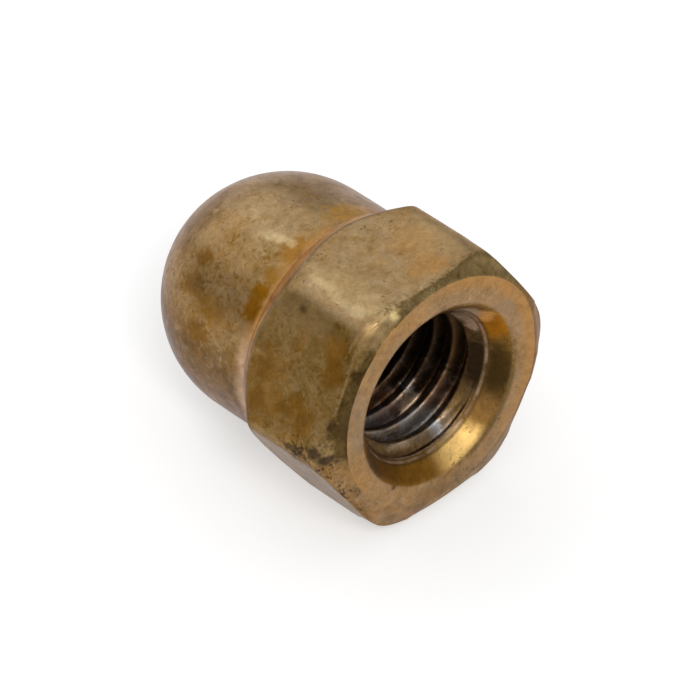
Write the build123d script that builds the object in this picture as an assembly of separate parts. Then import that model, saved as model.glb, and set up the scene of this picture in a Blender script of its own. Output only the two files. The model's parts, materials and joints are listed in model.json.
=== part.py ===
from build123d import *
import math
import os

# A domed cap nut for a five millimetre screw, turned in one piece from hexagon brass bar.
# It is drawn along X, with the middle of its mouth face at the origin and its dome towards
# -X, and is then laid down as it comes to rest: on one flat's rear edge and on its dome.

# Driving dimensions, in millimetres and degrees

# Hexagon bar
across_flats = 8.0
corner_radius = 0.4

# Outside, as turned on the bar
overall_length = 10.2
flat_length = 3.9
dome_step = 0.28
shoulder_angle = 38.0
neck_radius = 0.45
mouth_face_margin = 0.3
mouth_chamfer_angle = 20.0
mouth_rim_radius = 0.3
worn_edge_radius = 0.12

# Blind tapped hole, with its wall left at the tapping size
thread_diameter = 5.0
thread_pitch = 0.8
crown_wall = 1.54
drill_point_angle = 118.0
countersink_diameter = 5.8
countersink_angle = 76.0
countersink_lip_radius = 0.18

# Sizes that follow from those above
half_flats = across_flats / 2
dome_radius = half_flats - dome_step
dome_centre = overall_length - dome_radius
mouth_face_radius = half_flats - mouth_face_margin
hole_radius = (thread_diameter - thread_pitch) / 2
countersink_radius = countersink_diameter / 2
countersink_depth = (countersink_radius - hole_radius) / math.tan(math.radians(countersink_angle / 2))
drill_tip_depth = overall_length - crown_wall
wall_depth = drill_tip_depth - hole_radius / math.tan(math.radians(drill_point_angle / 2))

# The turned outline runs past the corners of the bar, so that the bar alone sets its flats
swing_radius = 1.05 * half_flats / math.cos(math.radians(30))


def shoulder_place(radius):
    """Distance from the mouth face at which the shoulder cone has this radius."""
    return flat_length - (radius - half_flats) / math.tan(math.radians(shoulder_angle))


def mouth_chamfer_depth(radius):
    """Depth of the mouth chamfer below the mouth face at this radius."""
    return (radius - mouth_face_radius) * math.tan(math.radians(mouth_chamfer_angle))


def soften(sketch, place, radius):
    """Round the outline's corner that lies at this place."""
    fillet(sketch.vertices().sort_by_distance(place)[0], radius)


def half_section():
    """Everything that is turned, on one side of the axis: X is the axis and Y the radius."""
    lip = (0, countersink_radius)
    rim = (0, mouth_face_radius)
    chamfer_end = (-mouth_chamfer_depth(swing_radius), swing_radius)
    shoulder_start = (-shoulder_place(swing_radius), swing_radius)
    neck = (-shoulder_place(dome_radius), dome_radius)
    dome_start = (-dome_centre, dome_radius)
    crown = (-overall_length, 0)
    drill_tip = (-drill_tip_depth, 0)
    wall_end = (-wall_depth, hole_radius)
    wall_start = (-countersink_depth, hole_radius)

    with BuildSketch() as section:
        with BuildLine():
            Polyline(lip, rim, chamfer_end, shoulder_start, neck, dome_start)
            JernArc(start=dome_start, tangent=(-1, 0), radius=dome_radius, arc_size=90)
            Polyline(crown, drill_tip, wall_end, wall_start, lip)
        make_face()
        soften(section, lip, countersink_lip_radius)
        soften(section, rim, mouth_rim_radius)
        soften(section, neck, neck_radius)
    return section.sketch


def hexagon_bar():
    """The bar it is turned from, with two of its flats level and its corners worn round."""
    with BuildSketch(Plane.YZ) as outline:
        RegularPolygon(radius=half_flats, side_count=6, major_radius=False)
        fillet(outline.vertices(), corner_radius)
    return extrude(outline.sketch, amount=-overall_length)


def where_cones_cut_flats(nut):
    """The curved edges that the mouth chamfer and the shoulder cone leave on the bar."""
    sides = [face for face in nut.faces() if face.geom_type == GeomType.PLANE]
    flats = [face for face in sides if abs(face.normal_at().X) < 0.5]
    return ShapeList(edge for face in flats for edge in face.edges() if edge.geom_type != GeomType.LINE)


def upright_nut():
    """The nut on its own axis."""
    turned = revolve(half_section(), axis=Axis.X)
    nut = hexagon_bar() & turned
    return fillet(where_cones_cut_flats(nut), worn_edge_radius)


def rest_tilt():
    """Angle that brings the rear edge of a flat and the dome down to one level."""
    setback = dome_centre - flat_length
    reach = math.hypot(setback, half_flats)
    return math.degrees(math.atan2(half_flats, setback) - math.asin(dome_radius / reach))


def lay_down(nut):
    """Tip the nut onto its dome and stand it on Z = 0, with the middle of its box over the origin."""
    tip = Rot(Y=-rest_tilt())
    box = (tip * nut).bounding_box()
    place = Pos(-box.center().X, -box.center().Y, -box.min.Z) * tip
    print("Tipped by", rest_tilt(), "degrees, with the middle of the mouth at", place.position)
    return place * nut


os.makedirs("parts", exist_ok=True)
cap_nut = lay_down(upright_nut())
cap_nut.label = "cap_nut"
export_step(cap_nut, "parts/cap_nut.step")
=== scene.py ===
import json
import math

import bmesh
import bpy
from mathutils import Matrix, Vector, noise as mathnoise

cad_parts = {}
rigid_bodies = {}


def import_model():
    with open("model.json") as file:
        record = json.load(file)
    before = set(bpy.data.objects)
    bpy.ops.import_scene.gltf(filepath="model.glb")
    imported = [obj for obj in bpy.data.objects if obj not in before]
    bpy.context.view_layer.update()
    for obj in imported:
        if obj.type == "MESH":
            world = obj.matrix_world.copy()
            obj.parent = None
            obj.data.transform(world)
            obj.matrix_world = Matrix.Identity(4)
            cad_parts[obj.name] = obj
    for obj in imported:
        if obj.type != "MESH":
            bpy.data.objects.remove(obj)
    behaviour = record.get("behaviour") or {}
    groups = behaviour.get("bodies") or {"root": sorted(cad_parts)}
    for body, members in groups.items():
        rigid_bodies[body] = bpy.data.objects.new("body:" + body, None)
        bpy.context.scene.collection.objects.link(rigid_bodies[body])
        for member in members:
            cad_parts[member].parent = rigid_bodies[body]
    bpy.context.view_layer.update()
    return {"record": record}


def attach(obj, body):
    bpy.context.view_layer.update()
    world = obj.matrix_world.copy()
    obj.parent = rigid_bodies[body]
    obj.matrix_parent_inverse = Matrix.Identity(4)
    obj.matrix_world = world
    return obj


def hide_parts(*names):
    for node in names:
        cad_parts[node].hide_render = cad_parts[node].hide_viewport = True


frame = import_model()

# Sizes of the nut, in metres. Depths are measured into the nut from its mouth face.
MM = 0.001
HALF_FLATS = 4.0 * MM
OVERALL_LENGTH = 10.2 * MM
FLAT_LENGTH = 3.9 * MM
DOME_RADIUS = HALF_FLATS - 0.28 * MM
DOME_CENTRE = OVERALL_LENGTH - DOME_RADIUS
SHOULDER_ANGLE = math.radians(38)
NECK_RADIUS = 0.45 * MM
MOUTH_FACE_RADIUS = HALF_FLATS - 0.3 * MM
MOUTH_CHAMFER_ANGLE = math.radians(20)
MOUTH_RIM_RADIUS = 0.5 * MM
LIP_RADIUS = 0.36 * MM
SWING_RADIUS = 4.565 * MM
CORNER_RADIUS = 0.45 * MM

# Wear. Knocks at the mouth: the corner's turn in degrees, and what is left of its radius
KNOCKS = [(0, 0.99), (120, 0.99), (-120, 0.985)]
KNOCK_DEPTH = 0.3 * MM
KNOCK_TIP = 0.25 * MM
KNOCK_REACH = 1.0 * MM
# Corners rubbed round at the mouth: turn in degrees, reach and passes of the smoothing
RUBBED_CORNERS = [
    (0, 1.1 * MM, 40),
    (60, 0.8 * MM, 14),
    (120, 1.2 * MM, 70),
    (180, 0.8 * MM, 20),
    (-120, 0.9 * MM, 24),
    (-60, 0.6 * MM, 10),
]
# The mouth face sits a little off the axis, and its rim is rubbed away on one side
RIM_SHIFT = (0, 0.13 * MM, 0.05 * MM)
RIM_SHIFT_REACH = 0.45 * MM
RIM_WIDTH = 0.1 * MM
RUBBED_RIM_TURN = math.radians(-100)
RUBBED_RIM_SPAN = math.radians(75)
RUBBED_RIM_DEPTH = 0.3 * MM
RUBBED_RIM_RADII = (3.35 * MM, 4.2 * MM)
RUBBED_RIM_PASSES = 60
# The long edge and the front edge that are worn most
WORN_EDGE_TURN = math.radians(120)
WORN_EDGE_SPAN = math.radians(9)
WORN_EDGE_RADIUS = 4.1 * MM
WORN_EDGE_PASSES = 40
WORN_FRONT_TURN = math.radians(150)
WORN_FRONT_HEIGHT = 3.5 * MM
WORN_FRONT_DEPTH = 0.45 * MM
WORN_FRONT_PASSES = 30
# All sharp edges outside this radius are smoothed a little
SHARP_TURN = math.radians(7)
SHARP_RADIUS = 3.9 * MM
SHARP_PASSES = 8
UNEVEN_DEPTH = 0.012 * MM
UNEVEN_SIZE = 1.3 * MM

# The threaded hole
THREAD_ROOT_RADIUS = 2.5 * MM
THREAD_CREST_RADIUS = 2.08 * MM
THREAD_PITCH = 0.8 * MM
COUNTERSINK_RADIUS = 2.9 * MM
COUNTERSINK_HALF_ANGLE = math.radians(38)
DRILL_TIP_DEPTH = OVERALL_LENGTH - 1.54 * MM
DRILL_HALF_ANGLE = math.radians(59)
FULL_THREAD_DEPTH = 6.4 * MM
THREAD_FRONT = 0.1 * MM
THREAD_FINISH_FRONT = 0.3 * MM
THREAD_START = math.radians(-78)
CREST_FLAT = 0.25
ROOT_FLAT = 0.125
THREAD_WEAR = 0.03 * MM
# The first turns are shallow: where they start to deepen, where they are full, and the least share
THREAD_RUN_IN = (0.45 * MM, 1.1 * MM, 0.45)
COUNTERSINK_END_RADIUS = 2.4 * MM

# What is marked for the finishes: how far it reaches, its slopes along the axis and bends per mm
SHOULDER_END = 4.4 * MM
SHOULDER_SLOPE = (0.35, 0.58)
FRONT_DEPTH = 0.7 * MM
FRONT_RADIUS = 3.4 * MM
FRONT_SLOPE = (0.35, 0.7)
FACE_SLOPE = (0.955, 0.985)
WORN_BEND = (0.3, 1.5)
MOUTH_DEPTH = 1.0 * MM
SEAM = 0.02 * MM

# How finely the outline, the turn and the milled hexagon are divided
COLUMNS = 264
MILLED_FACETS = 36
FINE = 0.045 * MM
MEDIUM = 0.08 * MM
COARSE = 0.125 * MM

# The nut's own frame: its axis and the middle of its mouth face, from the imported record
mounts = {mount["name"]: mount for mount in frame["record"]["mounts"]}
axis = Vector(mounts["thread"]["axis"])
mouth_centre = Vector(mounts["mouth_face"]["pos_m"])
mouth_centre.y = 0
TILT = math.atan2(axis.z, axis.x)
NUT_PLACE = Matrix.Translation(mouth_centre) @ Matrix.Rotation(-TILT, 4, "Y")


def cone_depth(radius):
    """Depth at which the shoulder cone has this radius."""
    return FLAT_LENGTH - (radius - HALF_FLATS) / math.tan(SHOULDER_ANGLE)


def chamfer_depth(radius):
    """Depth of the mouth chamfer at this radius."""
    return (radius - MOUTH_FACE_RADIUS) * math.tan(MOUTH_CHAMFER_ANGLE)


def turned_corners():
    """Corners of the turned outline, from crown to drill tip: depth, radius, rounding, spacing."""
    wall_start = (COUNTERSINK_RADIUS - THREAD_CREST_RADIUS) / math.tan(COUNTERSINK_HALF_ANGLE)
    wall_end = DRILL_TIP_DEPTH - THREAD_CREST_RADIUS / math.tan(DRILL_HALF_ANGLE)
    return [
        (DOME_CENTRE, DOME_RADIUS, 0, COARSE),
        (cone_depth(DOME_RADIUS), DOME_RADIUS, NECK_RADIUS, FINE),
        (cone_depth(SWING_RADIUS), SWING_RADIUS, 0, COARSE),
        (chamfer_depth(SWING_RADIUS), SWING_RADIUS, 0, FINE),
        (0, MOUTH_FACE_RADIUS, MOUTH_RIM_RADIUS, MEDIUM),
        (0, COUNTERSINK_RADIUS, LIP_RADIUS, FINE),
        (wall_start, THREAD_CREST_RADIUS, 0, FINE),
        (wall_end, THREAD_CREST_RADIUS, 0, COARSE),
        (DRILL_TIP_DEPTH, 0, 0, COARSE),
    ]


def divide(start, end, spacing):
    """Points from start up to and with end, evenly spaced."""
    steps = max(1, round((end - start).length / spacing))
    return [start.lerp(end, step / steps) for step in range(1, steps + 1)]


def turned_outline():
    """Points of the outline that the lathe follows, as (depth, radius)."""
    quarter = math.pi / 2
    dome_steps = round(quarter * DOME_RADIUS / COARSE)
    points = []
    for step in range(dome_steps + 1):
        angle = quarter * step / dome_steps
        depth = DOME_CENTRE + DOME_RADIUS * math.cos(angle)
        points.append(Vector((depth, DOME_RADIUS * math.sin(angle))))
    corners = turned_corners()
    for before, corner, after in zip(corners, corners[1:], corners[2:]):
        here = Vector(corner[:2])
        inward = (here - Vector(before[:2])).normalized()
        outward = (Vector(after[:2]) - here).normalized()
        turn = inward.angle(outward)
        reach = corner[2] * math.tan(turn / 2)
        points += divide(points[-1], here - reach * inward, before[3])
        if corner[2]:
            points += rounded_corner(here, inward, outward, corner[2], reach)
    points += divide(points[-1], Vector(corners[-1][:2]), corners[-2][3])
    return points


def rounded_corner(corner, inward, outward, radius, reach):
    """Points of the arc that takes the place of a corner."""
    middle = corner + (outward - inward).normalized() * math.hypot(radius, reach)
    start = corner - reach * inward - middle
    turn = inward.angle_signed(outward)
    steps = max(4, round(abs(turn) * radius / FINE))
    return [middle + Matrix.Rotation(-turn * step / steps, 2) @ start for step in range(1, steps + 1)]


def edit(piece):
    """Open a piece for modelling and return its mesh, with nothing selected."""
    bpy.context.view_layer.objects.active = piece
    bpy.ops.object.mode_set(mode="EDIT")
    bpy.ops.mesh.select_mode(type="VERT")
    bpy.ops.mesh.select_all(action="DESELECT")
    return bmesh.from_edit_mesh(piece.data)


def pick(piece, wanted):
    """Select the vertices for which wanted(place) holds, and nothing else."""
    mesh = bmesh.from_edit_mesh(piece.data)
    for vertex in mesh.verts:
        vertex.select_set(wanted(vertex.co))
    mesh.select_flush_mode()
    bmesh.update_edit_mesh(piece.data)


def turn_blank():
    """Spin the outline about X, as the lathe does. The mouth faces +X."""
    bpy.ops.object.select_all(action="DESELECT")
    bpy.ops.mesh.primitive_plane_add(size=MM)
    blank = bpy.context.active_object
    blank.name = "aged_cap_nut"
    bpy.ops.object.mode_set(mode="EDIT")
    bpy.ops.mesh.select_all(action="SELECT")
    bpy.ops.mesh.merge(type="CENTER")
    outline = [Vector((-depth, radius, 0)) for depth, radius in turned_outline()]
    bpy.ops.transform.translate(value=outline[0])
    for place, following in zip(outline, outline[1:]):
        bpy.ops.mesh.extrude_vertices_move(TRANSFORM_OT_translate={"value": following - place})
    bpy.ops.mesh.select_all(action="SELECT")
    bpy.ops.mesh.spin(steps=COLUMNS, angle=2 * math.pi, center=(0, 0, 0), axis=(1, 0, 0))
    bpy.ops.mesh.select_all(action="SELECT")
    bpy.ops.mesh.remove_doubles(threshold=MM / 1000)
    bpy.ops.object.mode_set(mode="OBJECT")
    return blank


def shift_rim(blank):
    """Slide the rim of the mouth face a little to one side, as it was turned off centre."""
    edit(blank)
    pick(blank, lambda place: place.x > -RIM_WIDTH and abs(place.yz.length - MOUTH_FACE_RADIUS) < RIM_WIDTH)
    bpy.ops.transform.translate(
        value=RIM_SHIFT,
        use_proportional_edit=True,
        proportional_edit_falloff="SMOOTH",
        proportional_size=RIM_SHIFT_REACH,
    )
    bpy.ops.object.mode_set(mode="OBJECT")


def milling_height(turned):
    """How far from the axis the rounded hexagon reaches, this many facets round from a flat."""
    corner_axis = (HALF_FLATS - CORNER_RADIUS) / math.cos(math.pi / 6)
    from_corner = math.pi / 6 - turned * 2 * math.pi / MILLED_FACETS
    return CORNER_RADIUS + corner_axis * math.cos(from_corner)


def mill_hexagon(blank):
    """Flatten what stands above the cutter, then turn the blank a little, all the way round."""
    edit(blank)
    facets_per_flat = MILLED_FACETS // 6
    for facet in range(MILLED_FACETS):
        height = milling_height(facet % facets_per_flat)
        pick(blank, lambda place: place.z > height)
        bpy.ops.transform.resize(value=(1, 1, 0), center_override=(0, 0, height))
        bpy.ops.mesh.select_all(action="SELECT")
        bpy.ops.transform.rotate(
            value=2 * math.pi / MILLED_FACETS, orient_axis="X", center_override=(0, 0, 0)
        )
    bpy.ops.object.mode_set(mode="OBJECT")


def corner_tip(turn):
    """The corner of the hexagon at this turn, at the mouth."""
    return Vector((-KNOCK_DEPTH, SWING_RADIUS * math.cos(turn), SWING_RADIUS * math.sin(turn)))


def knock_corners(nut):
    """Push some of the hexagon's corners in at the mouth, where knocks have blunted them."""
    edit(nut)
    for turn, share in KNOCKS:
        tip = corner_tip(math.radians(turn))
        pick(nut, lambda place: (place - tip).length < KNOCK_TIP)
        bpy.ops.transform.resize(
            value=(1, share, share),
            center_override=(0, 0, 0),
            use_proportional_edit=True,
            proportional_edit_falloff="SMOOTH",
            proportional_size=KNOCK_REACH,
        )
    bpy.ops.object.mode_set(mode="OBJECT")


def rub(nut, wanted, passes):
    """Smooth the picked part of the surface, as years of handling do."""
    pick(nut, wanted)
    bpy.ops.mesh.vertices_smooth(factor=0.5, repeat=passes)


def wear_edges(nut):
    """Rub down the sharp edges of the hexagon, and more so its mouth corners and one long edge."""
    edit(nut)
    bpy.ops.mesh.select_mode(type="EDGE")
    bpy.ops.mesh.edges_select_sharp(sharpness=SHARP_TURN)
    mesh = bmesh.from_edit_mesh(nut.data)
    for vertex in mesh.verts:
        if vertex.co.yz.length < SHARP_RADIUS:
            vertex.select_set(False)
    mesh.select_flush_mode()
    bmesh.update_edit_mesh(nut.data)
    bpy.ops.mesh.select_mode(type="VERT")
    bpy.ops.mesh.select_more()
    bpy.ops.mesh.vertices_smooth(factor=0.5, repeat=SHARP_PASSES)
    for turn, reach, passes in RUBBED_CORNERS:
        tip = corner_tip(math.radians(turn))
        rub(nut, lambda place: (place - tip).length < reach, passes)
    rub(nut, near_worn_edge, WORN_EDGE_PASSES)
    rub(nut, near_worn_front, WORN_FRONT_PASSES)
    rub(nut, near_rubbed_rim, RUBBED_RIM_PASSES)
    bpy.ops.object.mode_set(mode="OBJECT")


def near_worn_edge(place):
    """True close to the long edge of the hexagon that is worn most."""
    turn = math.atan2(place.z, place.y)
    return place.yz.length > WORN_EDGE_RADIUS and abs(turn - WORN_EDGE_TURN) < WORN_EDGE_SPAN


def near_worn_front(place):
    """True close to the front edge of the flat that is rubbed most at the mouth."""
    outwards = place.y * math.cos(WORN_FRONT_TURN) + place.z * math.sin(WORN_FRONT_TURN)
    return outwards > WORN_FRONT_HEIGHT and place.x > -WORN_FRONT_DEPTH


def near_rubbed_rim(place):
    """True close to the rim of the mouth face, on the side where it is rubbed away."""
    turn = math.atan2(place.z, place.y) - RUBBED_RIM_TURN
    off_middle = abs((turn + math.pi) % (2 * math.pi) - math.pi)
    inside, outside = RUBBED_RIM_RADII
    on_rim = place.x > -RUBBED_RIM_DEPTH and inside < place.yz.length < outside
    return on_rim and off_middle < RUBBED_RIM_SPAN


def roughen(nut):
    """Give the surface the shallow unevenness of long use. It only ever goes inwards."""
    lumps = bpy.data.textures.new("uneven", "CLOUDS")
    lumps.noise_scale = UNEVEN_SIZE
    lumps.noise_depth = 2
    uneven = nut.modifiers.new("uneven", "DISPLACE")
    uneven.texture = lumps
    uneven.texture_coords = "LOCAL"
    uneven.strength = UNEVEN_DEPTH
    uneven.mid_level = 1
    bpy.ops.object.modifier_apply(modifier="uneven")


def thread_form(phase):
    """Share of the thread's depth: 0 on its flat crest, 1 in its root, with eased flanks between."""
    from_crest = abs((phase / (2 * math.pi) + 0.5) % 1 - 0.5)
    flank = 0.5 - CREST_FLAT / 2 - ROOT_FLAT / 2
    share = min(1, max(0, (from_crest - CREST_FLAT / 2) / flank))
    return (share + smooth_step(share, 0, 1)) / 2


def cut_thread(nut):
    """Cut a right-hand thread into the wall of the hole, where it goes deeper than what is there."""
    for vertex in nut.data.vertices:
        depth = -vertex.co.x
        radius = vertex.co.yz.length
        if radius > COUNTERSINK_RADIUS or depth > FULL_THREAD_DEPTH + THREAD_PITCH:
            continue
        if depth < THREAD_FRONT:
            continue
        turn = math.atan2(vertex.co.z, vertex.co.y)
        phase = THREAD_START + turn + 2 * math.pi * depth / THREAD_PITCH
        fade = min(1, max(0, (FULL_THREAD_DEPTH + THREAD_PITCH - depth) / THREAD_PITCH))
        start, end, least = THREAD_RUN_IN
        run_in = least + (1 - least) * smooth_step(depth, start, end)
        cut = thread_form(phase) * fade * run_in * (THREAD_ROOT_RADIUS - THREAD_CREST_RADIUS)
        chipped = THREAD_WEAR * mathnoise.noise(vertex.co / MM)
        wanted = THREAD_CREST_RADIUS + cut + chipped * fade
        if wanted > radius:
            vertex.co.yz = vertex.co.yz * (wanted / radius)


def smooth_step(value, low, high):
    """0 below low, 1 above high and smooth between."""
    share = min(1, max(0, (value - low) / (high - low)))
    return share * share * (3 - 2 * share)


def mark(nut, name, share):
    """Store a share from 0 to 1 for each vertex, for the finish to follow."""
    layer = nut.data.attributes.new(name, "FLOAT", "POINT")
    layer.data.foreach_set("value", [share(vertex) for vertex in nut.data.vertices])


def convexity(nut):
    """How sharply the surface bends outwards at each vertex, as turn per mm."""
    mesh = bmesh.new()
    mesh.from_mesh(nut.data)
    bends = []
    for vertex in mesh.verts:
        bend = 0
        for edge in vertex.link_edges:
            other = edge.other_vert(vertex)
            away = other.co - vertex.co
            bend -= 2 * vertex.normal.dot(away) / away.length_squared * MM
        bends.append(bend / len(vertex.link_edges))
    mesh.free()
    return bends


def mark_surfaces(nut):
    """Mark the worn edges, the shoulder, the mouth chamfer and all of the front. The mouth faces +X."""
    bends = convexity(nut)

    def shoulder_share(vertex):
        if vertex.co.x < -SHOULDER_END or vertex.co.yz.length < DOME_RADIUS:
            return 0
        return smooth_step(-vertex.normal.x, *SHOULDER_SLOPE)

    def front_share(vertex):
        if vertex.co.x < -FRONT_DEPTH or vertex.co.yz.length < FRONT_RADIUS:
            return 0
        return smooth_step(vertex.normal.x, *FRONT_SLOPE)

    def chamfer_share(vertex):
        return front_share(vertex) * (1 - smooth_step(vertex.normal.x, *FACE_SLOPE))

    mark(nut, "worn_edge", lambda vertex: smooth_step(bends[vertex.index], *WORN_BEND))
    mark(nut, "shoulder", shoulder_share)
    mark(nut, "mouth_chamfer", chamfer_share)
    mark(nut, "mouth_front", front_share)


def in_mouth(place):
    """True on the mouth face and in the hole, inside the rim as it was shifted."""
    rim_centre = Vector(RIM_SHIFT)
    return place.x > -MOUTH_DEPTH and (place - rim_centre).yz.length < MOUTH_FACE_RADIUS + SEAM


def in_thread(place):
    """True inside the hole, from the end of the countersink on and where the thread breaks into it."""
    depth = -place.x
    radius = place.yz.length
    if not THREAD_FINISH_FRONT < depth < DRILL_TIP_DEPTH + SEAM:
        return False
    if radius > THREAD_ROOT_RADIUS + THREAD_WEAR:
        return False
    sunk_radius = COUNTERSINK_RADIUS - depth * math.tan(COUNTERSINK_HALF_ANGLE)
    return sunk_radius < COUNTERSINK_END_RADIUS or radius > sunk_radius + SEAM


def finish_part(nut, material, wanted):
    """Give a material to the faces whose vertices are all wanted."""
    nut.data.materials.append(material)
    nut.active_material_index = len(nut.data.materials) - 1
    edit(nut)
    pick(nut, wanted)
    bpy.ops.object.material_slot_assign()
    bpy.ops.object.mode_set(mode="OBJECT")


def make_nut():
    """Turn, mill, wear and thread the nut, give it its finishes and lay it in its place."""
    nut = turn_blank()
    shift_rim(nut)
    mill_hexagon(nut)
    knock_corners(nut)
    wear_edges(nut)
    cut_thread(nut)
    roughen(nut)
    edit(nut)
    bpy.ops.mesh.select_all(action="SELECT")
    bpy.ops.mesh.normals_make_consistent(inside=False)
    bpy.ops.object.mode_set(mode="OBJECT")
    nut.data.shade_smooth()
    mark_surfaces(nut)
    finish_part(nut, tarnished_brass_and_painted_light(), lambda place: True)
    finish_part(nut, turned_mouth_brass(), in_mouth)
    finish_part(nut, grimy_shaded_thread_brass(), in_thread)
    nut.data.transform(NUT_PLACE)
    return nut


def add_node(tree, kind, **settings):
    """A new node with these settings."""
    node = tree.nodes.new(kind)
    for name, value in settings.items():
        setattr(node, name, value)
    return node


def feed(tree, socket, value):
    """Join a socket to another, or give it a plain value."""
    if isinstance(value, bpy.types.NodeSocket):
        tree.links.new(value, socket)
    else:
        socket.default_value = value


def calculate(tree, operation, *values):
    """A Math node fed by sockets or plain numbers. Gives its output."""
    node = add_node(tree, "ShaderNodeMath", operation=operation)
    for value, socket in zip(values, node.inputs):
        feed(tree, socket, value)
    return node.outputs[0]


def calculate_vector(tree, operation, *values):
    """A Vector Math node fed by sockets or plain vectors. Gives its output."""
    node = add_node(tree, "ShaderNodeVectorMath", operation=operation)
    for value, socket in zip(values, node.inputs):
        feed(tree, socket, value)
    return node.outputs["Value"] if operation == "LENGTH" else node.outputs["Vector"]


def product(tree, *values):
    """The values multiplied together."""
    result = values[0]
    for value in values[1:]:
        result = calculate(tree, "MULTIPLY", result, value)
    return result


def blend(tree, share, under, over):
    """The colour under, covered by the colour over where share is 1."""
    node = add_node(tree, "ShaderNodeMix", data_type="RGBA")
    feed(tree, node.inputs[0], share)
    feed(tree, node.inputs[6], under)
    feed(tree, node.inputs[7], over)
    return node.outputs[2]


def rise(tree, value, low, high):
    """0 below low, 1 above high and smooth between. It falls if low is above high."""
    node = add_node(tree, "ShaderNodeMapRange", interpolation_type="SMOOTHSTEP")
    feed(tree, node.inputs["Value"], value)
    feed(tree, node.inputs["From Min"], low)
    feed(tree, node.inputs["From Max"], high)
    return node.outputs["Result"]


def noise(tree, place, size, seed, detail=3.0, roughness=0.55, swirl=0.0):
    """Noise whose lumps are about this size in mm."""
    node = add_node(tree, "ShaderNodeTexNoise", noise_dimensions="4D")
    feed(tree, node.inputs["Vector"], place)
    feed(tree, node.inputs["W"], seed)
    feed(tree, node.inputs["Scale"], calculate(tree, "DIVIDE", 1.0, size))
    feed(tree, node.inputs["Detail"], detail)
    feed(tree, node.inputs["Roughness"], roughness)
    feed(tree, node.inputs["Distortion"], swirl)
    return node.outputs["Fac"]


def new_group(name, inputs, output):
    """A node group with named inputs and one named output. Gives the group and its two ends."""
    group = bpy.data.node_groups.new(name, "ShaderNodeTree")
    for label, value in inputs.items():
        kind = "NodeSocketVector" if label in ("Place", "Centre", "Reach") else "NodeSocketFloat"
        socket = group.interface.new_socket(name=label, in_out="INPUT", socket_type=kind)
        if value is not None:
            socket.default_value = value
    group.interface.new_socket(name=output, in_out="OUTPUT", socket_type="NodeSocketFloat")
    start = group.nodes.new("NodeGroupInput").outputs
    end = group.nodes.new("NodeGroupOutput").inputs[output]
    return group, start, end


def use_group(tree, group, **values):
    """Place a group in a tree, with values for its inputs. Gives its output."""
    node = add_node(tree, "ShaderNodeGroup", node_tree=group)
    for label, value in values.items():
        feed(tree, node.inputs[label], value)
    return node.outputs[0]


def tarnish_cloud_group():
    """Soft-edged clouds of tarnish that cover this share of the surface."""
    group, start, end = new_group(
        "tarnish_cloud",
        {"Place": None, "Size": 1.0, "Cover": 0.5, "Softness": 0.1, "Swirl": 0.5, "Seed": 0.0},
        "Mask",
    )
    lumps = noise(group, start["Place"], start["Size"], start["Seed"], 4.0, 0.6, start["Swirl"])
    line = calculate(group, "MULTIPLY_ADD", start["Cover"], -0.5, 0.75)
    low = calculate(group, "SUBTRACT", line, start["Softness"])
    high = calculate(group, "ADD", line, start["Softness"])
    group.links.new(rise(group, lumps, low, high), end)
    return group


def mottle_group():
    """Mottling as lively at every scale, from 0 in its dark spots to 1 in its pale ones."""
    group, start, end = new_group(
        "mottle", {"Place": None, "Size": 1.0, "Swirl": 0.6, "Seed": 0.0}, "Value"
    )
    lumps = noise(group, start["Place"], start["Size"], start["Seed"], 5.0, 0.82, start["Swirl"])
    spread = add_node(group, "ShaderNodeMapRange")
    group.links.new(lumps, spread.inputs["Value"])
    spread.inputs["From Min"].default_value = 0.3
    spread.inputs["From Max"].default_value = 0.7
    group.links.new(spread.outputs["Result"], end)
    return group


def specks_group():
    """Small specks that gather in clusters."""
    group, start, end = new_group(
        "specks", {"Place": None, "Size": 0.1, "Cover": 0.2, "Seed": 0.0}, "Mask"
    )
    fine = noise(group, start["Place"], start["Size"], start["Seed"], detail=1.0, roughness=0.5, swirl=0.8)
    wide_size = product(group, start["Size"], 6.0)
    wide = noise(group, start["Place"], wide_size, start["Seed"], detail=2.0)
    both = calculate(group, "MULTIPLY_ADD", wide, 0.6, fine)
    line = calculate(group, "MULTIPLY_ADD", start["Cover"], -0.5, 1.12)
    group.links.new(rise(group, both, line, calculate(group, "ADD", line, 0.08)), end)
    return group


def scratches_group():
    """Fine curling scratches, broken up into patches."""
    group, start, end = new_group(
        "scratches", {"Place": None, "Size": 0.3, "Width": 0.02, "Cover": 0.4, "Seed": 0.0}, "Mask"
    )
    field = noise(group, start["Place"], start["Size"], start["Seed"], detail=1.5, roughness=0.5, swirl=1.4)
    off_line = calculate(group, "ABSOLUTE", calculate(group, "SUBTRACT", field, 0.5))
    line = rise(group, off_line, start["Width"], 0.0)
    wide_size = product(group, start["Size"], 1.7)
    wide = noise(group, start["Place"], wide_size, start["Seed"], roughness=0.7)
    level = calculate(group, "MULTIPLY_ADD", start["Cover"], -0.5, 0.75)
    patchy = rise(group, wide, level, calculate(group, "ADD", level, 0.12))
    group.links.new(product(group, line, patchy), end)
    return group


def stain_group():
    """One ragged stain round its centre, as far as it reaches each way."""
    group, start, end = new_group(
        "stain", {"Place": None, "Centre": None, "Reach": (1, 1, 1), "Ragged": 1.2}, "Mask"
    )
    away = calculate_vector(group, "SUBTRACT", start["Place"], start["Centre"])
    share = calculate_vector(group, "LENGTH", calculate_vector(group, "DIVIDE", away, start["Reach"]))
    lumps = noise(group, start["Place"], 0.5, 0.0, detail=4.0, roughness=0.75, swirl=0.8)
    off_middle = calculate(group, "MULTIPLY_ADD", lumps, 2.0, -1.0)
    ragged = calculate(group, "MULTIPLY_ADD", off_middle, start["Ragged"], share)
    group.links.new(rise(group, ragged, 1.25, 0.45), end)
    return group


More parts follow.
